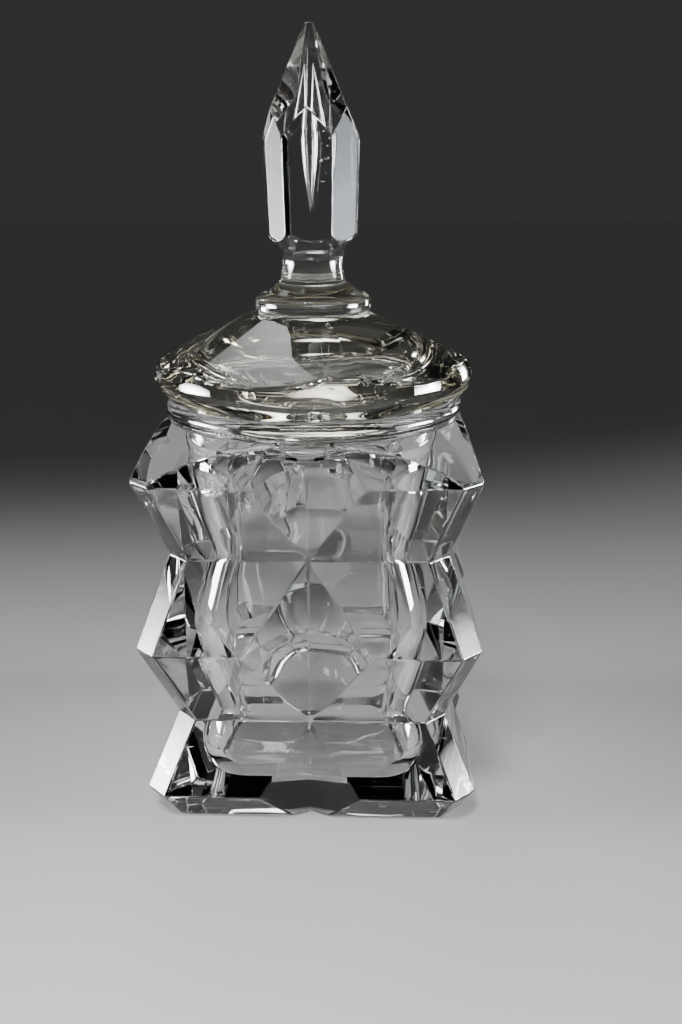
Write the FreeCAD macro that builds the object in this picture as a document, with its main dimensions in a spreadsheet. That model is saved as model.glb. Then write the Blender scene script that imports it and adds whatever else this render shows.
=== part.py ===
import os

import FreeCAD
import Part
import Sketcher
from FreeCAD import Placement, Rotation, Vector

# Powder jar: a square zigzag glass jar, a loose round lid, and a cut spire cemented on the lid.
# Millimetres, +Z up. Origin: middle of the flat foot that the jar stands on. Front: -Y.

# name: (value, what it is); heights are above the foot
SIZES = {
    # jar, outside: three tiers, wide at the ridges and narrow at the valleys
    "foot_half": (37.0, "half width of the foot"),
    "base_ridge_half": (40.5, "half width at the base ridge"),
    "mid_ridge_half": (41.0, "half width at the middle ridge"),
    "top_ridge_half": (40.0, "half width at the top ridge"),
    "valley_half": (33.2, "half width at both valleys"),
    "collar_half": (37.0, "half width where the shoulder planes end"),
    "corner_cut": (5.0, "leg of the 45 degree corner cut"),
    "base_ridge_z": (7.0, "height of the base ridge"),
    "low_valley_z": (24.4, "height of the lower valley"),
    "mid_ridge_z": (44.8, "height of the middle ridge"),
    "high_valley_z": (66.1, "height of the upper valley"),
    "top_ridge_z": (85.4, "height of the top ridge"),
    "collar_z": (94.5, "height where the shoulder planes end"),
    # V grooves down the middle of the four faces
    "groove_half_open": (60.0, "half opening of a groove, at the open depth"),
    "groove_open": (63.2, "distance from the axis to the open side of a groove"),
    "groove_foot": (34.9, "distance from the axis to the bottom of a groove at the foot"),
    # neck and bead
    "neck_r": (36.1, "outer radius of the neck"),
    "neck_z": (90.5, "height where the neck wall starts"),
    "bead_mid_r": (34.9, "radius to the middle of the bead"),
    "bead_r": (2.2, "radius of the bead's own section"),
    "bead_z": (96.9, "height of the middle of the bead"),
    "mouth_r": (32.0, "radius of the mouth"),
    "mouth_floor_z": (90.4, "height where the round mouth meets the square hollow"),
    # hollow: rounded squares from the floor up
    "hollow_floor_z": (4.2, "height of the hollow's floor"),
    "hollow_floor_half": (23.6, "half width of the floor"),
    "hollow_floor_corner": (8.0, "corner radius of the floor"),
    "hollow_heel_z": (7.2, "height where the floor has turned up into the walls"),
    "hollow_heel_half": (27.3, "half width there"),
    "hollow_heel_corner": (9.8, "corner radius there"),
    "hollow_low_belly_z": (12.5, "height of the lowest belly"),
    "hollow_low_belly_half": (28.2, "half width there"),
    "hollow_low_belly_corner": (10.5, "corner radius there"),
    "hollow_low_waist_z": (25.0, "height of the lower waist"),
    "hollow_low_waist_half": (23.8, "half width there"),
    "hollow_low_waist_corner": (9.5, "corner radius there"),
    "hollow_belly_z": (45.5, "height of the middle belly"),
    "hollow_belly_half": (28.6, "half width there"),
    "hollow_belly_corner": (11.0, "corner radius there"),
    "hollow_waist_z": (66.0, "height of the upper waist"),
    "hollow_waist_half": (23.8, "half width there"),
    "hollow_waist_corner": (9.5, "corner radius there"),
    "hollow_top_z": (84.5, "height of the upper belly"),
    "hollow_top_half": (28.4, "half width there"),
    "hollow_top_corner": (14.0, "corner radius there"),
    "hollow_collar_z": (91.0, "height where the hollow has become round"),
    "hollow_collar_half": (29.5, "half width there"),
    "hollow_collar_corner": (26.0, "corner radius there"),
    # lid
    "lid_seat_z": (99.2, "height of the lid's flat underside"),
    "lid_seat_r": (35.6, "outer radius of the flat underside"),
    "lid_rim_r": (39.4, "radius of the rim at its widest"),
    "lid_top_z": (119.1, "height of the lid's flat top"),
    "lid_top_apothem": (14.7, "middle of a panel to the axis, at the top"),
    "lid_eave_apothem": (45.0, "middle of a panel's plane to the axis, beyond the rim"),
    "lid_eave_z": (104.4, "height of a panel's plane there"),
    "lid_panel_turn": (13.5, "turn of the six panels about the axis, degrees"),
    "ring_r": (30.9, "outer radius of the locating ring"),
    "ring_inner_r": (27.6, "inner radius of the locating ring"),
    "ring_z": (95.2, "height of the locating ring's lower edge"),
    "lid_ceiling_r": (18.0, "radius of the flat ceiling inside the lid"),
    "lid_ceiling_z": (106.6, "height of the ceiling inside the lid"),
    # finial
    "stem_waist_r": (7.25, "radius of the stem at its waist"),
    "shaft_low_apothem": (9.33, "axis to a shaft face, low"),
    "shaft_low_z": (133.4, "height of that point"),
    "shaft_high_apothem": (10.2, "axis to a shaft face, high"),
    "shaft_high_z": (166.0, "height of that point"),
    "shaft_turn": (28.5, "turn of the six shaft faces about the axis, degrees"),
    "point_turn": (58.5, "turn of the six faces of the point, degrees"),
    "point_low_apothem": (11.65, "axis to a face of the point, low"),
    "point_low_z": (159.4, "height of that point"),
    "point_tip_apothem": (1.05, "axis to a face of the point, at the tip"),
    "finial_tip_z": (184.2, "height of the tip"),
    "cutter": (25.0, "how far the cutting prisms reach outwards"),
}

doc = FreeCAD.newDocument("powder_jar")
sheet = doc.addObject("Spreadsheet::Sheet", "dims")
for row, (name, (value, note)) in enumerate(SIZES.items(), start=1):
    sheet.set("A%d" % row, name)
    sheet.set("B%d" % row, str(value))
    sheet.set("C%d" % row, note)
    sheet.setAlias("B%d" % row, name)
doc.recompute()


def number(terms):
    """Value of a coordinate written as signed names and numbers, such as '+neck_r -0.4'."""
    total = 0.0
    for term in terms.split():
        name = term[1:]
        size = SIZES[name][0] if name in SIZES else float(name)
        total += -size if term[0] == "-" else size
    return total


def formula(terms):
    """The same coordinate as an expression on the spreadsheet."""
    parts = []
    for term in terms.split():
        name = term[1:]
        parts.append("%s %s" % (term[0], "dims." + name if name in SIZES else name))
    return "0 mm + " + " ".join(p.replace("dims.", "1 mm * dims.") if "dims." in p
                                else p + " mm" for p in parts).lstrip("+ ")


def origin_part(body, role):
    return next(o for o in body.Origin.OriginFeatures if o.Role == role)


def new_sketch(body, name, plane, height=None, turn=None):
    """Sketch on an origin plane, lifted to a height or turned about the vertical axis."""
    sketch = body.newObject("Sketcher::SketchObject", name)
    sketch.AttachmentSupport = [(origin_part(body, plane), "")]
    sketch.MapMode = "FlatFace"
    if height:
        sketch.AttachmentOffset = Placement(Vector(0, 0, number(height)), Rotation())
        sketch.setExpression("AttachmentOffset.Base.z", formula(height))
    if turn:
        sketch.AttachmentOffset = Placement(Vector(), Rotation(Vector(0, 1, 0), SIZES[turn][0]))
        sketch.setExpression("AttachmentOffset.Rotation.Angle", "dims.%s * 1 deg" % turn)
    return sketch


def pin(sketch, geometry, point, x, y):
    """Fix one end of an edge at coordinates bound to the spreadsheet."""
    for kind, terms in (("X", x), ("Y", y)):
        value = number(terms)
        if abs(value) < 1e-9:
            axis = -2 if kind == "X" else -1
            sketch.addConstraint(Sketcher.Constraint("PointOnObject", geometry, point, axis))
            continue
        i = sketch.addConstraint(
            Sketcher.Constraint("Distance" + kind, -1, 1, geometry, point, value))
        if any(t[1:] in SIZES for t in terms.split()):
            sketch.setExpression("Constraints[%d]" % i, formula(terms))


def polygon(sketch, points):
    """Closed outline through points given as pairs of coordinates."""
    spots = [Vector(number(x), number(y), 0) for x, y in points]
    for i, spot in enumerate(spots):
        sketch.addGeometry(Part.LineSegment(spot, spots[(i + 1) % len(spots)]))
    for i in range(len(spots)):
        sketch.addConstraint(
            Sketcher.Constraint("Coincident", i, 2, (i + 1) % len(spots), 1))
    for i, (x, y) in enumerate(points):
        pin(sketch, i, 1, x, y)


def octagon(sketch, half, cut):
    """Square with its corners cut off."""
    near = half + " " + flip(cut)
    ring = [(near, flip(half)), (half, flip(near)), (half, near), (near, half)]
    polygon(sketch, [(flip(x), flip(y)) for x, y in ring] + ring)


def flip(terms):
    """The coordinate with its sign changed."""
    swap = {"+": "-", "-": "+"}
    return " ".join(swap[t[0]] + t[1:] for t in terms.split())


def rounded_square(sketch, half, radius):
    """Square with rounded corners: four sides, then the four arcs between them."""
    near = half + " " + flip(radius)
    a, r, n = number(half), number(radius), number(near)
    sides = [((flip(near), flip(half)), (near, flip(half))),
             ((half, flip(near)), (half, near)),
             ((near, half), (flip(near), half)),
             ((flip(half), near), (flip(half), flip(near)))]
    for (x1, y1), (x2, y2) in sides:
        sketch.addGeometry(Part.LineSegment(Vector(number(x1), number(y1), 0),
                                            Vector(number(x2), number(y2), 0)))
    quarter = 1.5707963267948966
    for i, (cx, cy) in enumerate([(n, -n), (n, n), (-n, n), (-n, -n)]):
        circle = Part.Circle(Vector(cx, cy, 0), Vector(0, 0, 1), r)
        sketch.addGeometry(Part.ArcOfCircle(circle, (i - 1) * quarter, i * quarter))
    for i, (start, end) in enumerate(sides):
        pin(sketch, i, 1, *start)
        pin(sketch, i, 2, *end)
    for i in range(4):
        sketch.addConstraint(Sketcher.Constraint("Coincident", i, 2, 4 + i, 1))
        sketch.addConstraint(Sketcher.Constraint("Coincident", 4 + i, 2, (i + 1) % 4, 1))
        c = sketch.addConstraint(Sketcher.Constraint("Radius", 4 + i, r))
        sketch.setExpression("Constraints[%d]" % c, formula(radius))


def feature(body, kind, name, profile, sections=(), **settings):
    """Add a PartDesign feature made from a sketch."""
    made = body.newObject("PartDesign::" + kind, name)
    made.Profile = profile
    if sections:
        made.Sections = list(sections)
    for key, value in settings.items():
        setattr(made, key, value)
    doc.recompute()
    return made


def around(body, name, made, count):
    """Repeat a feature evenly about the vertical axis."""
    pattern = body.newObject("PartDesign::PolarPattern", name)
    pattern.Originals = [made]
    pattern.Axis = (origin_part(body, "Z_Axis"), [""])
    pattern.Angle = 360
    pattern.Occurrences = count
    body.Tip = pattern
    doc.recompute()
    return pattern


def spin(body, kind, name, points):
    """Turn a half outline (radius, height) about the vertical axis."""
    sketch = new_sketch(body, name + "_outline", "XZ_Plane")
    polygon(sketch, points)
    return feature(body, kind, name, sketch, ReferenceAxis=(sketch, ["V_Axis"]), Angle=360)


def new_body(name):
    body = doc.addObject("PartDesign::Body", name)
    body.Label = name
    return body


def removed(body, before, what):
    """Make sure that a cut took glass away."""
    if body.Shape.Volume > before - 1.0:
        raise RuntimeError(what + " cut nothing")
    return body.Shape.Volume


# --- jar body -----------------------------------------------------------------------------
jar = new_body("jar_body")
TIERS = [("foot", None, "foot_half"),
         ("base_ridge", "+base_ridge_z", "base_ridge_half"),
         ("low_valley", "+low_valley_z", "valley_half"),
         ("mid_ridge", "+mid_ridge_z", "mid_ridge_half"),
         ("high_valley", "+high_valley_z", "valley_half"),
         ("top_ridge", "+top_ridge_z", "top_ridge_half"),
         ("collar", "+collar_z", "collar_half")]
rings = []
for name, height, half in TIERS:
    sketch = new_sketch(jar, name, "XY_Plane", height=height)
    octagon(sketch, "+" + half, "+corner_cut")
    rings.append(sketch)
doc.recompute()
feature(jar, "AdditiveLoft", "zigzag", rings[0], rings[1:], Ruled=True)
volume = jar.Shape.Volume

# the corners of the shoulder fall away in a dome that all but touches the top ridge's corners
spin(jar, "Groove", "shoulder_dome",
     [("+neck_r", "+collar_z"), ("+40.3", "+93.2"), ("+44.0", "+91.9"), ("+48.5", "+89.4"),
      ("+53.5", "+85.7"), ("+60", "+80"), ("+60", "+100"), ("+neck_r", "+100")])
volume = removed(jar, volume, "shoulder dome")

# V groove: upright from the lower valley up, leaning out below it
sketch = new_sketch(jar, "groove_section", "XY_Plane", height="+low_valley_z")
polygon(sketch, [("+0", "-valley_half"),
                 ("-groove_half_open", "-groove_open"), ("+groove_half_open", "-groove_open")])
upright = feature(jar, "Pocket", "groove_upright", sketch, Reversed=True, Length=75)
around(jar, "grooves_upright", upright, 4)
volume = removed(jar, volume, "upright grooves")
lean = (SIZES["groove_foot"][0] - SIZES["valley_half"][0]) / SIZES["low_valley_z"][0]
leaning = feature(jar, "Pocket", "groove_leaning", sketch, UseCustomVector=True,
                  Direction=Vector(0, -lean, -1), AlongSketchNormal=True, Length=26)
around(jar, "grooves_leaning", leaning, 4)
volume = removed(jar, volume, "leaning grooves")

# round neck with the bead at the mouth; the bead's section is drawn with nine points
ROUND = [(0.5, -0.866), (0.866, -0.5), (0.9659, -0.2588), (1.0, 0.0), (0.9659, 0.2588),
         (0.866, 0.5), (0.7071, 0.7071), (0.5, 0.866), (0.2588, 0.9659)]
bead_r = SIZES["bead_r"][0]
BEAD = [("+bead_mid_r +%.4f" % (bead_r * out),
         "+bead_z %s%.4f" % ("-" if up < 0 else "+", bead_r * abs(up))) for out, up in ROUND]
spin(jar, "Revolution", "neck",
     [("+0", "+neck_z"), ("+neck_r", "+neck_z"), ("+neck_r", "+collar_z +0.3")] + BEAD
     + [("+bead_mid_r", "+bead_z +bead_r"), ("+mouth_r +1.4", "+bead_z +bead_r"),
        ("+mouth_r +0.4", "+bead_z +bead_r -0.4"), ("+0", "+bead_z +bead_r -0.4")])
volume = jar.Shape.Volume

HOLLOW = ["floor", "heel", "low_belly", "low_waist", "belly", "waist", "top", "collar"]
levels = []
for name in HOLLOW:
    sketch = new_sketch(jar, "hollow_" + name, "XY_Plane", height="+hollow_%s_z" % name)
    rounded_square(sketch, "+hollow_%s_half" % name, "+hollow_%s_corner" % name)
    levels.append(sketch)
doc.recompute()
feature(jar, "SubtractiveLoft", "hollow", levels[0], levels[1:], Ruled=False)
volume = removed(jar, volume, "hollow")
spin(jar, "Groove", "mouth",
     [("+0", "+mouth_floor_z"), ("+29.4", "+mouth_floor_z"), ("+31.3", "+mouth_floor_z +1.2"),
      ("+mouth_r", "+mouth_floor_z +3.2"), ("+mouth_r", "+bead_z +1.2"),
      ("+mouth_r +0.4", "+bead_z +bead_r -0.4"), ("+mouth_r +1.4", "+bead_z +bead_r"),
      ("+mouth_r +1.4", "+101"), ("+0", "+101")])
removed(jar, volume, "mouth")

# --- lid ------------------------------------------------------------------------------------
lid = new_body("lid")
spin(lid, "Revolution", "cover",
     [("+ring_inner_r", "+ring_z"), ("+ring_r -0.8", "+ring_z"), ("+ring_r", "+ring_z +0.8"),
      ("+ring_r", "+lid_seat_z"), ("+lid_seat_r", "+lid_seat_z"), ("+37.2", "+100.5"),
      ("+38.4", "+101.8"), ("+39.1", "+103.0"), ("+lid_rim_r", "+104.3"),
      ("+39.3", "+105.8"), ("+38.9", "+107.2"), ("+38.2", "+108.6"), ("+37.2", "+109.7"),
      ("+16.3", "+lid_top_z"), ("+0", "+lid_top_z"), ("+0", "+lid_ceiling_z"),
      ("+lid_ceiling_r", "+lid_ceiling_z"), ("+22.5", "+105.3"), ("+25.9", "+102.6"),
      ("+ring_inner_r -0.2", "+lid_seat_z")])
volume = lid.Shape.Volume
sketch = new_sketch(lid, "panel_outline", "XZ_Plane", turn="lid_panel_turn")
polygon(sketch, [("+lid_top_apothem", "+lid_top_z"), ("+lid_eave_apothem", "+lid_eave_z"),
                 ("+lid_eave_apothem", "+lid_top_z +5"), ("+lid_top_apothem", "+lid_top_z +5")])
panel = feature(lid, "Pocket", "panel", sketch, Midplane=True, Length=90)
around(lid, "panels", panel, 6)
removed(lid, volume, "lid panels")

# --- finial ---------------------------------------------------------------------------------
finial = new_body("finial")
spin(finial, "Revolution", "spire",
     [("+0", "+lid_top_z"), ("+12.6", "+lid_top_z"), ("+13.5", "+119.5"), ("+14.0", "+120.2"),
      ("+14.25", "+121.2"), ("+14.25", "+122.2"), ("+13.9", "+123.1"), ("+13.0", "+123.9"),
      ("+10.6", "+125.2"), ("+8.7", "+126.4"), ("+7.95", "+127.3"), ("+7.7", "+128.4"),
      ("+7.4", "+129.8"), ("+stem_waist_r", "+131.2"), ("+7.35", "+132.4"), ("+7.7", "+133.4"),
      ("+7.95", "+134.2"), ("+8.3", "+135.0"), ("+9.2", "+136.1"), ("+10.4", "+137.3"),
      ("+11.4", "+138.7"), ("+12.2", "+140.6"), ("+12.2", "+162.6"),
      ("+1.5", "+finial_tip_z"), ("+0", "+finial_tip_z")])
volume = finial.Shape.Volume
sketch = new_sketch(finial, "shaft_outline", "XZ_Plane", turn="shaft_turn")
polygon(sketch, [("+shaft_low_apothem", "+shaft_low_z"), ("+cutter", "+shaft_low_z"),
                 ("+cutter", "+shaft_high_z"), ("+shaft_high_apothem", "+shaft_high_z")])
face = feature(finial, "Pocket", "shaft_face", sketch, Midplane=True, Length=50)
around(finial, "shaft_faces", face, 6)
volume = removed(finial, volume, "shaft faces")
sketch = new_sketch(finial, "point_outline", "XZ_Plane", turn="point_turn")
polygon(sketch, [("+point_low_apothem", "+point_low_z"), ("+cutter", "+point_low_z"),
                 ("+cutter", "+finial_tip_z"), ("+point_tip_apothem", "+finial_tip_z")])
face = feature(finial, "Pocket", "point_face", sketch, Midplane=True, Length=50)
around(finial, "point_faces", face, 6)
volume = removed(finial, volume, "point faces")
# the air tear drawn up inside the spire
spin(finial, "Groove", "air_tear",
     [("+0", "+143.0"), ("+0.9", "+148.5"), ("+1.7", "+154.0"), ("+2.05", "+158.5"),
      ("+1.9", "+162.0"), ("+1.2", "+167.0"), ("+0.5", "+171.5"), ("+0", "+175.2")])
removed(finial, volume, "air tear")

# --- checks and files -------------------------------------------------------------------------
doc.recompute()
for obj in doc.Objects:
    if "Invalid" in obj.State or "Error" in obj.State:
        raise RuntimeError("%s failed: %s" % (obj.Label, obj.State))
bodies = [jar, lid, finial]
for body in bodies:
    shape = body.Shape
    if shape.isNull() or not shape.isValid() or len(shape.Solids) != 1:
        raise RuntimeError("%s is not one valid solid" % body.Label)
os.makedirs("parts", exist_ok=True)
for body in bodies:
    body.Shape.exportStep("parts/%s.step" % body.Label)
    box = body.Shape.BoundBox
    print("%s: %.1f cm3, x %.1f..%.1f, y %.1f..%.1f, z %.1f..%.1f" % (
        body.Label, body.Shape.Volume / 1000, box.XMin, box.XMax, box.YMin, box.YMax,
        box.ZMin, box.ZMax))
for i, first in enumerate(bodies):
    for second in bodies[i + 1:]:
        print("%s - %s: overlap %.4f mm3, gap %.2f mm" % (
            first.Label, second.Label, first.Shape.common(second.Shape).Volume,
            first.Shape.distToShape(second.Shape)[0]))
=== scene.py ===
import math
import random

import bmesh
import bpy
from mathutils import Matrix, Vector


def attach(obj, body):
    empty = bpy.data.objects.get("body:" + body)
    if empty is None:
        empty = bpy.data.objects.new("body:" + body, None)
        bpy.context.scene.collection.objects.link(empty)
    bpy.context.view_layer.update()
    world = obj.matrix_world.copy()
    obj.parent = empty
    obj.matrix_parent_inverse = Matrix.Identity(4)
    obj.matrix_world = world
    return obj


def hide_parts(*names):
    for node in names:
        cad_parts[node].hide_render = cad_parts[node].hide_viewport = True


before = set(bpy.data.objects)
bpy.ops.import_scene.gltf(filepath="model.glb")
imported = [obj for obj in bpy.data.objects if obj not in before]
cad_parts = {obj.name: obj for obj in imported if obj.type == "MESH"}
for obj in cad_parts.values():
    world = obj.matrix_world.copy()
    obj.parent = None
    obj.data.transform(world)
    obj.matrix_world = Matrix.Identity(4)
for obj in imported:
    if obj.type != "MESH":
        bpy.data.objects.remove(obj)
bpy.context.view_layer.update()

# Cut-glass powder jar: jar body, lid and spire, each a glass mesh of its own that stands for the
# CAD solid of the same piece. Outlines below are in millimetres, angles in degrees, and the
# finished meshes in metres.
MM = 0.001
ON_AXIS = 1e-6
scene = bpy.context.scene


# ---------------------------------------------------------------- mesh helpers
def obj_from(bm, name):
    """New object in the scene from a bmesh, its faces turned outwards."""
    bmesh.ops.recalc_face_normals(bm, faces=bm.faces)
    mesh = bpy.data.meshes.new(name)
    bm.to_mesh(mesh)
    bm.free()
    made = bpy.data.objects.new(name, mesh)
    scene.collection.objects.link(made)
    return made


def skin(name, rings):
    """Closed skin through rings of equally many points, capped at both ends."""
    bm = bmesh.new()
    rows = [[bm.verts.new(Vector(p) * MM) for p in ring] for ring in rings]
    for low, high in zip(rows, rows[1:]):
        for i in range(len(low)):
            j = (i + 1) % len(low)
            bm.faces.new((low[i], low[j], high[j], high[i]))
    bm.faces.new(list(reversed(rows[0])))
    bm.faces.new(rows[-1])
    return obj_from(bm, name)


def lathe(name, outline, steps=96):
    """Turns a closed outline of (radius, height) about Z; it may start and end on the axis."""
    bm = bmesh.new()
    rows = []
    for r, z in outline:
        if r < ON_AXIS:
            rows.append([bm.verts.new((0, 0, z * MM))])
            continue
        rows.append([bm.verts.new((r * MM * math.cos(math.tau * i / steps),
                                   r * MM * math.sin(math.tau * i / steps), z * MM))
                     for i in range(steps)])
    for a, b in zip(rows, rows[1:] + rows[:1]):
        if len(a) == 1 and len(b) == 1:
            continue
        for i in range(steps):
            j = (i + 1) % steps
            if len(a) == 1:
                bm.faces.new((a[0], b[j], b[i]))
            elif len(b) == 1:
                bm.faces.new((a[i], a[j], b[0]))
            else:
                bm.faces.new((a[i], a[j], b[j], b[i]))
    return obj_from(bm, name)


def curve(points, steps):
    """Points along a smooth curve through the given ones (Catmull-Rom)."""
    out = []
    for i in range(len(points) - 1):
        p1, p2 = points[i], points[i + 1]
        p0 = points[i - 1] if i else tuple(2 * a - b for a, b in zip(p1, p2))
        p3 = points[i + 2] if i + 2 < len(points) else tuple(2 * a - b for a, b in zip(p2, p1))
        for s in range(steps):
            t = s / steps
            out.append(tuple(
                0.5 * (2 * b + (c - a) * t + (2 * a - 5 * b + 4 * c - d) * t * t
                       + (3 * b - a - 3 * c + d) * t ** 3)
                for a, b, c, d in zip(p0, p1, p2, p3)))
    out.append(tuple(points[-1]))
    return out


def arc(cx, cy, radius, start, end, count):
    """Points on a circle between two angles in degrees."""
    return [(cx + radius * math.cos(math.radians(start + (end - start) * i / count)),
             cy + radius * math.sin(math.radians(start + (end - start) * i / count)))
            for i in range(count + 1)]


def combine(target, tool, operation):
    """Exact boolean of target with tool, which is used up."""
    mod = target.modifiers.new("bool", "BOOLEAN")
    mod.operation = operation
    mod.solver = "EXACT"
    mod.object = tool
    bpy.context.view_layer.update()
    graph = bpy.context.evaluated_depsgraph_get()
    mesh = bpy.data.meshes.new_from_object(target.evaluated_get(graph))
    target.modifiers.clear()
    old = target.data
    target.data = mesh
    bpy.data.meshes.remove(old)
    bpy.data.objects.remove(tool)


def clean(target, weld=0.00002):
    """Welds doubles, and makes one face of each flat."""
    bm = bmesh.new()
    bm.from_mesh(target.data)
    bmesh.ops.remove_doubles(bm, verts=bm.verts, dist=weld)
    bmesh.ops.dissolve_limit(bm, angle_limit=math.radians(0.4), verts=bm.verts, edges=bm.edges)
    bm.to_mesh(target.data)
    bm.free()


def soften(target, width, segments, angle):
    """Bevel modifier on the arrises sharper than the angle; every face is shaded smoothly."""
    bm = bmesh.new()
    bm.from_mesh(target.data)
    weight = bm.edges.layers.float.new("bevel_weight_edge")
    for edge in bm.edges:
        if len(edge.link_faces) == 2 and edge.calc_face_angle() > math.radians(angle):
            edge[weight] = 1.0
    for face in bm.faces:
        face.smooth = True
    bm.to_mesh(target.data)
    bm.free()
    mod = target.modifiers.new("arris", "BEVEL")
    mod.width = width * MM
    mod.segments = segments
    mod.limit_method = "WEIGHT"
    mod.use_clamp_overlap = False
    mod.harden_normals = True
    mod.miter_outer = "MITER_ARC"


def add_voids(target, makers):
    """Closed shells turned inside out: the hollow spots inside a piece of glass."""
    bm = bmesh.new()
    bm.from_mesh(target.data)
    first = len(bm.faces)
    for made in makers:
        bm.from_mesh(made.data)
        bpy.data.objects.remove(made)
    bm.faces.ensure_lookup_table()
    inner = bm.faces[first:]
    bmesh.ops.reverse_faces(bm, faces=inner)
    for face in inner:
        face.smooth = True
    bm.to_mesh(target.data)
    bm.free()


def seed_bubbles(name, count, low, high, rng):
    """Tiny upright bubbles strewn in a box, as one mesh."""
    bm = bmesh.new()
    for _ in range(count):
        place = Vector([rng.uniform(a, b) for a, b in zip(low, high)]) * MM
        size = rng.uniform(0.10, 0.24) * MM
        matrix = (Matrix.Translation(place)
                  @ Matrix.Diagonal((size, size, size * rng.uniform(1.0, 1.8), 1.0)))
        bmesh.ops.create_icosphere(bm, subdivisions=2, radius=1.0, matrix=matrix)
    return obj_from(bm, name)


def wedge(name, outline, half, turn):
    """Prism on an outline of (distance from the axis, height), turned about Z by degrees."""
    t = math.radians(turn)
    out, side = Vector((math.sin(t), -math.cos(t), 0)), Vector((math.cos(t), math.sin(t), 0))
    rings = [[out * x + side * s + Vector((0, 0, z)) for x, z in outline]
             for s in (-half, half)]
    return skin(name, rings)


# ---------------------------------------------------------------- jar body
CHAMFER = 5.0


def octagon(half, z):
    """Square ring of the given half width, its corners chamfered."""
    n = half - CHAMFER
    return [(-n, -half, z), (n, -half, z), (half, -n, z), (half, n, z),
            (n, half, z), (-n, half, z), (-half, n, z), (-half, -n, z)]


# (height, half width) of the ridges and valleys of the zigzag
TIERS = [(0, 37.0), (7.0, 40.5), (24.4, 33.2), (44.8, 41.0), (66.1, 33.2), (85.4, 40.0),
         (94.5, 37.0)]
# the V groove in each face is as deep as the valleys, and a little shallower at the foot
VALLEY, LOW_VALLEY_Z, GROOVE_FOOT = 33.2, 24.4, 34.9
GROOVE_HALF, GROOVE_RISE = 24, 12
NECK_R, FINE = 36.1, 160
jar = skin("jar_glass_body", [octagon(half, z) for z, half in TIERS])
dome = curve([(NECK_R, 94.5), (40.3, 93.2), (44.0, 91.9), (48.5, 89.4), (53.5, 85.7),
              (60.0, 80.0)], 3)
combine(jar, lathe("dome", dome + [(60, 100), (NECK_R, 100)], FINE), "DIFFERENCE")
for quarter in range(4):
    spin = Matrix.Rotation(quarter * math.pi / 2, 3, "Z")
    rings = []
    for z in (-2.0, LOW_VALLEY_Z, 101.0):
        bottom = VALLEY + max(0.0, LOW_VALLEY_Z - z) / LOW_VALLEY_Z * (GROOVE_FOOT - VALLEY)
        rings.append([spin @ Vector(p) for p in
                      ((0, -bottom, z), (-GROOVE_HALF, -bottom - GROOVE_RISE, z),
                       (GROOVE_HALF, -bottom - GROOVE_RISE, z))])
    combine(jar, skin("groove", rings), "DIFFERENCE")
bead = arc(34.9, 96.9, 2.2, -55, 90, 14)
neck = ([(0, 90.5), (NECK_R, 90.5), (NECK_R, 94.9)] + bead
        + [(33.6, 99.08), (32.9, 98.95), (32.4, 98.6), (0, 98.6)])
combine(jar, lathe("neck", neck, FINE), "UNION")

# (height, half width, corner radius) of the hollow, which follows the zigzag
HOLLOW = [(4.2, 23.6, 8.0), (5.2, 26.0, 9.2), (7.2, 27.3, 9.8), (12.5, 28.2, 10.5),
          (18.5, 26.5, 10.0), (25.0, 23.8, 9.5), (35.0, 26.4, 10.3), (45.5, 28.6, 11.0),
          (56.0, 26.3, 10.2), (66.0, 23.8, 9.5), (75.5, 26.2, 11.5), (84.5, 28.4, 14.0),
          (88.5, 29.2, 20.0), (91.0, 29.5, 26.0)]
CORNER_STEPS = 12


def rounded(half, radius, z):
    """Square ring with rounded corners."""
    n = half - radius
    ring = []
    for k, (sx, sy) in enumerate(((1, -1), (1, 1), (-1, 1), (-1, -1))):
        for x, y in arc(0, 0, radius, (k - 1) * 90, k * 90, CORNER_STEPS):
            ring.append((sx * n + x, sy * n + y, z))
    return ring


levels = curve(HOLLOW, 5)
combine(jar, skin("hollow", [rounded(half, r, z) for z, half, r in levels]), "DIFFERENCE")
mouth = [(0, 90.4), (29.4, 90.4), (30.6, 90.8), (31.4, 91.7), (31.85, 92.8), (32.0, 94.0),
         (32.0, 98.0), (32.1, 98.4), (32.4, 98.75), (32.9, 99.0), (33.6, 99.12), (33.6, 101),
         (0, 101)]
combine(jar, lathe("mouth", mouth, FINE), "DIFFERENCE")
clean(jar)
soften(jar, 0.42, 3, 21)

# ---------------------------------------------------------------- lid
ring_profile = [(27.6, 95.5), (27.9, 95.2), (30.1, 95.2), (30.65, 95.45), (30.9, 96.0),
                (30.9, 98.9), (31.2, 99.2)]
rim = curve([(35.6, 99.2), (37.2, 100.5), (38.4, 101.8), (39.1, 103.0), (39.4, 104.3),
             (39.3, 105.8), (38.9, 107.2), (38.2, 108.6), (37.2, 109.7)], 2)
ceiling = curve([(18.0, 106.6), (20.4, 106.3), (22.5, 105.3), (24.4, 104.1), (25.9, 102.6),
                 (27.0, 100.8), (27.4, 99.2)], 3)
lid = lathe("lid_glass_cover",
            ring_profile + rim + [(12.0, 121.0), (0, 121.0), (0, 106.6)] + ceiling, 144)
# six panels: a hexagonal pyramid whose half width across flats is 14.7 at the lid's flat top
LID_TOP, TOP_FLAT, LOW_FLAT, LOW_FLAT_Z, LID_TURN = 119.1, 14.7, 45.0, 104.4, 43.5
hexes = []
for z in (88.0, LID_TOP):
    apothem = TOP_FLAT + (LID_TOP - z) * (LOW_FLAT - TOP_FLAT) / (LID_TOP - LOW_FLAT_Z)
    reach = apothem / math.cos(math.pi / 6)
    hexes.append([(reach * math.cos(math.radians(LID_TURN + 60 * i)),
                   reach * math.sin(math.radians(LID_TURN + 60 * i)), z)
                  for i in range(6)])
combine(lid, skin("panels", hexes), "INTERSECT")
clean(lid)
soften(lid, 0.9, 4, 12)

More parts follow.
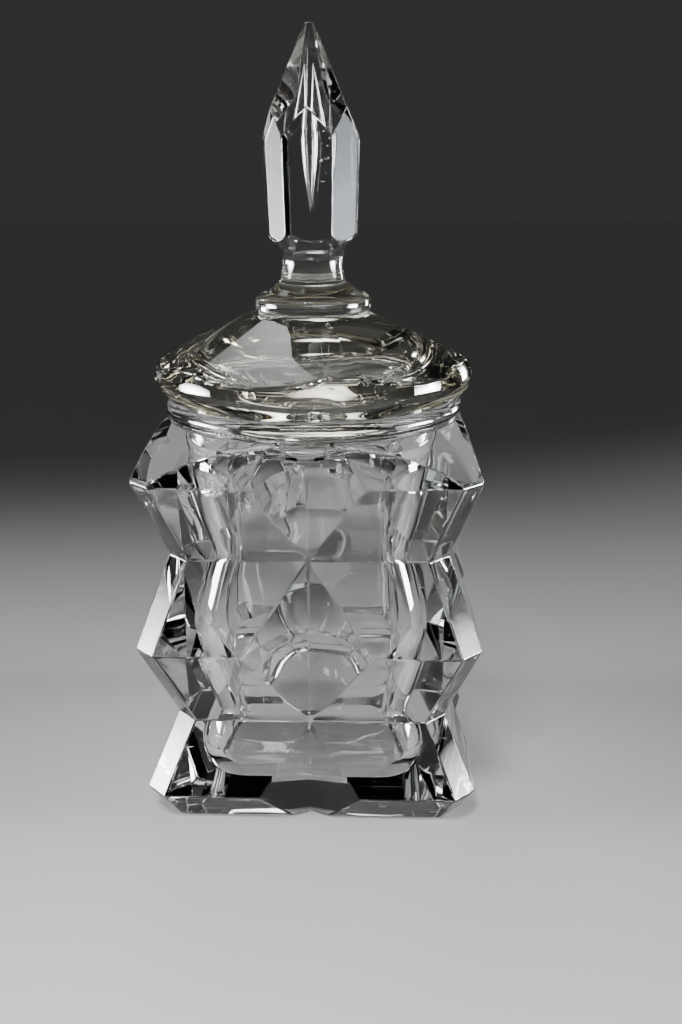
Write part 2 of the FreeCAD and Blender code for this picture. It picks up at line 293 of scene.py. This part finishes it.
# ---------------------------------------------------------------- finial
# flats of the shaft and of the point; the point's stand half a facet round from the shaft's
SHAFT_TURN, POINT_TURN = 58.5, 28.5
POINT_Z, POINT_R, TIP, TIP_R = 159.4, 11.65, 184.2, 1.05
CLEAR, CLEAR_Z = 25, 190
knop = curve([(12.6, 119.1), (13.5, 119.5), (14.0, 120.2), (14.25, 121.2), (14.25, 122.2),
              (13.9, 123.1), (13.0, 123.9), (10.6, 125.2), (8.7, 126.4), (7.95, 127.3),
              (7.7, 128.4), (7.4, 129.8), (7.25, 131.2), (7.35, 132.4), (7.7, 133.4),
              (7.95, 134.2), (8.3, 135.0), (9.2, 136.1), (10.4, 137.3), (11.4, 138.7),
              (12.2, 140.6)], 2)
# it starts 0.1 mm inside the lid, as the cemented joint has no air in it
finial = lathe("finial_glass_spire", [(0, 119.0), (12.4, 119.0)] + knop
               + [(12.2, 162.6), (1.5, TIP), (0, TIP)])
for i in range(6):
    combine(finial, wedge("shaft_cut", [(9.33, 133.4), (CLEAR, 133.4), (CLEAR, 166), (10.2, 166)],
                          CLEAR, SHAFT_TURN + 60 * i), "DIFFERENCE")
past_tip = TIP_R - (POINT_R - TIP_R) / (TIP - POINT_Z) * (CLEAR_Z - TIP)
for i in range(6):
    combine(finial, wedge("point_cut", [(POINT_R, POINT_Z), (CLEAR, POINT_Z), (CLEAR, CLEAR_Z),
                                        (past_tip, CLEAR_Z)],
                          CLEAR, POINT_TURN + 60 * i), "DIFFERENCE")
clean(finial)
soften(finial, 0.22, 3, 21)
tear = curve([(0, 143.0), (0.9, 148.5), (1.7, 154.0), (2.05, 158.5), (1.9, 162.0), (1.2, 167.0),
              (0.5, 171.5), (0, 175.2)], 4)
rng = random.Random(7)
add_voids(finial, [lathe("tear", [(max(0.0, r), z) for r, z in tear], 40),
                   seed_bubbles("seeds", 16, (2.6, -7.2, 141.0), (6.4, -3.0, 162.0), rng)])


# ---------------------------------------------------------------- materials
GLASS_IOR = 1.52


def glass(name, tint, absorb, density, haze, spots=()):
    """Clear glass with waviness, fine scratches and a thin film; spots are rough chips."""
    mat = bpy.data.materials.new(name)
    mat.use_nodes = True
    nodes, links = mat.node_tree.nodes, mat.node_tree.links
    nodes.clear()
    out = nodes.new("ShaderNodeOutputMaterial")
    shader = nodes.new("ShaderNodeBsdfPrincipled")
    shader.inputs["Transmission Weight"].default_value = 1.0
    shader.inputs["IOR"].default_value = GLASS_IOR
    links.new(shader.outputs["BSDF"], out.inputs["Surface"])
    coords = nodes.new("ShaderNodeTexCoord")

    def noise(scale, detail=2.0, stretch=None, roughness=0.5):
        tex = nodes.new("ShaderNodeTexNoise")
        tex.inputs["Scale"].default_value = scale
        tex.inputs["Detail"].default_value = detail
        tex.inputs["Roughness"].default_value = roughness
        source = coords.outputs["Object"]
        if stretch:
            mapping = nodes.new("ShaderNodeMapping")
            mapping.inputs["Rotation"].default_value = stretch[0]
            mapping.inputs["Scale"].default_value = stretch[1]
            links.new(source, mapping.inputs["Vector"])
            source = mapping.outputs["Vector"]
        links.new(source, tex.inputs["Vector"])
        return tex.outputs["Fac"]

    def ramp(source, low, high, a=0.0, b=1.0):
        node = nodes.new("ShaderNodeMapRange")
        node.inputs["From Min"].default_value = low
        node.inputs["From Max"].default_value = high
        node.inputs["To Min"].default_value = a
        node.inputs["To Max"].default_value = b
        links.new(source, node.inputs["Value"])
        return node.outputs["Result"]

    def calc(a, b, operation="ADD"):
        node = nodes.new("ShaderNodeMath")
        node.operation = operation
        for socket, value in zip(node.inputs, (a, b)):
            if isinstance(value, float):
                socket.default_value = value
            else:
                links.new(value, socket)
        return node.outputs["Value"]

    # fine scratches: stretched noise in three directions, kept to its thin crests
    scratches = None
    for k, rotation in enumerate(((0.5, 0.9, 0.2), (1.3, -0.6, 1.1), (-0.8, 0.4, 2.2))):
        line = ramp(noise(900.0, 1.0, (rotation, (0.05, 1.0, 1.0))), 0.735 - 0.005 * k, 0.77)
        scratches = line if scratches is None else calc(scratches, line)
    patches = ramp(noise(70.0, 3.0), 0.5, 0.66)
    scratches = calc(scratches, patches, "MULTIPLY")
    film = ramp(noise(45.0, 5.0, None, 0.65), 0.45, 0.8, 0.0, haze)
    rough = calc(calc(calc(scratches, 0.35, "MULTIPLY"), film), 0.004)
    crust = None
    for centre, radius in spots:
        away = nodes.new("ShaderNodeVectorMath")
        away.operation = "DISTANCE"
        away.inputs[1].default_value = [c * MM for c in centre]
        links.new(coords.outputs["Object"], away.inputs[0])
        near = ramp(away.outputs["Value"], radius * 0.45 * MM, radius * MM, 1.0, 0.0)
        crust = near if crust is None else calc(crust, near)
    if crust is not None:
        crust = calc(crust, ramp(noise(900.0, 3.0, None, 0.6), 0.42, 0.60), "MULTIPLY")
        rough = calc(rough, calc(crust, 0.5, "MULTIPLY"))
    links.new(rough, shader.inputs["Roughness"])

    colour = nodes.new("ShaderNodeMix")
    colour.data_type = "RGBA"
    colour.inputs[6].default_value = (*tint, 1)
    colour.inputs[7].default_value = (*(c * 0.93 for c in tint), 1)
    links.new(ramp(noise(30.0, 3.0), 0.35, 0.7), colour.inputs[0])
    links.new(colour.outputs[2], shader.inputs["Base Color"])

    wave = nodes.new("ShaderNodeBump")
    wave.inputs["Strength"].default_value = 0.35
    wave.inputs["Distance"].default_value = 0.0006
    links.new(noise(38.0, 1.0), wave.inputs["Height"])
    fine = nodes.new("ShaderNodeBump")
    fine.inputs["Strength"].default_value = 0.4
    fine.inputs["Distance"].default_value = 0.00002
    links.new(scratches, fine.inputs["Height"])
    links.new(wave.outputs["Normal"], fine.inputs["Normal"])
    last = fine
    if crust is not None:
        last = nodes.new("ShaderNodeBump")
        last.inputs["Strength"].default_value = 0.8
        last.inputs["Distance"].default_value = 0.0002
        links.new(crust, last.inputs["Height"])
        links.new(fine.outputs["Normal"], last.inputs["Normal"])
    links.new(last.outputs["Normal"], shader.inputs["Normal"])

    volume = nodes.new("ShaderNodeVolumeAbsorption")
    volume.inputs["Color"].default_value = (*absorb, 1)
    volume.inputs["Density"].default_value = density
    links.new(volume.outputs["Volume"], out.inputs["Volume"])
    return mat


jar_mat = glass("jar_glass_clear", (1.0, 1.0, 1.0), (0.90, 0.93, 0.93), 9.0, 0.02,
                [((-25.0, -21.0, 41.0), 6.0), ((-20.0, -40.0, 85.4), 2.6),
                 ((-26.5, -40.0, 85.0), 1.8), ((-15.5, -40.0, 85.6), 1.4)])
lid_mat = glass("lid_glass_straw", (1.0, 0.995, 0.97), (0.97, 0.94, 0.72), 16.0, 0.05)
finial_mat = glass("finial_glass_clear", (1.0, 1.0, 1.0), (0.93, 0.95, 0.97), 8.0, 0.01)
for piece, material, node, body, slot in (
        (jar, jar_mat, "jar_body", "jar", "jar_glass"),
        (lid, lid_mat, "lid", "cover", "lid_glass"),
        (finial, finial_mat, "finial", "cover", "finial_glass")):
    piece.data.materials.clear()
    piece.data.materials.append(material)
    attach(piece, body)
    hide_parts(node)

# ---------------------------------------------------------------- floor, light, camera
bm = bmesh.new()
bmesh.ops.create_circle(bm, cap_ends=True, segments=96, radius=5.0,
                        matrix=Matrix.Translation((0, 0, -0.0004)))
floor = obj_from(bm, "floor")
floor_mat = bpy.data.materials.new("floor_paper")
floor_mat.use_nodes = True
floor_shader = floor_mat.node_tree.nodes["Principled BSDF"]
floor_shader.inputs["Base Color"].default_value = (0.62, 0.62, 0.61, 1)
floor_shader.inputs["Roughness"].default_value = 0.9
floor_shader.inputs["Specular IOR Level"].default_value = 0.1
floor.data.materials.append(floor_mat)

world = bpy.data.worlds.new("studio")
scene.world = world
world.use_nodes = True
sky, sky_links = world.node_tree.nodes, world.node_tree.links
direction = sky.new("ShaderNodeTexCoord")
split = sky.new("ShaderNodeSeparateXYZ")
sky_links.new(direction.outputs["Generated"], split.inputs["Vector"])
fade = sky.new("ShaderNodeMapRange")
fade.interpolation_type = "SMOOTHSTEP"
for socket, value in zip(("From Min", "From Max", "To Min", "To Max"),
                         (0.30, 1.00, 0.034, 0.065)):
    fade.inputs[socket].default_value = value
sky_links.new(split.outputs["Z"], fade.inputs["Value"])
sky_links.new(fade.outputs["Result"], sky["Background"].inputs["Color"])


def softbox(name, place, aim, size, power, spread, colour=(1, 1, 1)):
    """Rectangular area light, not seen by the camera itself."""
    data = bpy.data.lights.new(name, "AREA")
    data.shape = "RECTANGLE"
    data.size, data.size_y = size
    data.energy = power
    data.spread = math.radians(spread)
    data.color = colour
    lamp = bpy.data.objects.new(name, data)
    lamp.location = place
    lamp.visible_camera = False
    lamp.rotation_euler = (Vector(aim) - Vector(place)).to_track_quat("-Z", "Y").to_euler()
    scene.collection.objects.link(lamp)


# places and sizes in metres, powers in watts, spreads in degrees
softbox("left", (-0.60, -0.04, 0.15), (0, -0.02, 0.19), (0.34, 0.30), 2.6, 36, (0.96, 0.98, 1.0))
softbox("right", (0.62, -0.02, 0.15), (0, -0.02, 0.19), (0.28, 0.30), 2.2, 36)
softbox("pool", (-0.12, -0.50, 0.80), (-0.02, -0.27, 0), (0.30, 0.22), 1.0, 34)
softbox("over", (-0.10, 0.42, 0.66), (0, -0.10, 0.10), (1.0, 0.55), 0.36, 30)
softbox("rear_left", (-0.52, 0.62, 0.16), (0, 0, 0.20), (0.22, 0.30), 0.005, 30, (0.86, 0.93, 1.0))
softbox("rear_right", (0.56, 0.60, 0.16), (0, 0, 0.20), (0.14, 0.30), 0.25, 30)
softbox("rear_dim", (0.50, 0.66, 0.16), (0, 0, 0.20), (0.10, 0.30), 0.004, 30)

camera = bpy.data.objects.new("camera", bpy.data.cameras.new("camera"))
scene.collection.objects.link(camera)
camera.data.sensor_width = 36.0
camera.data.lens = 36.0 * 997.0 / 1024.0
camera.data.clip_start, camera.data.clip_end = 0.01, 30.0
camera.location = (0.01594, -0.24925, 0.14787)
camera.rotation_euler = [math.radians(a) for a in (72.132, 0.318, 2.041)]
scene.camera = camera
scene.cycles.max_bounces = 24
scene.cycles.transmission_bounces = 24
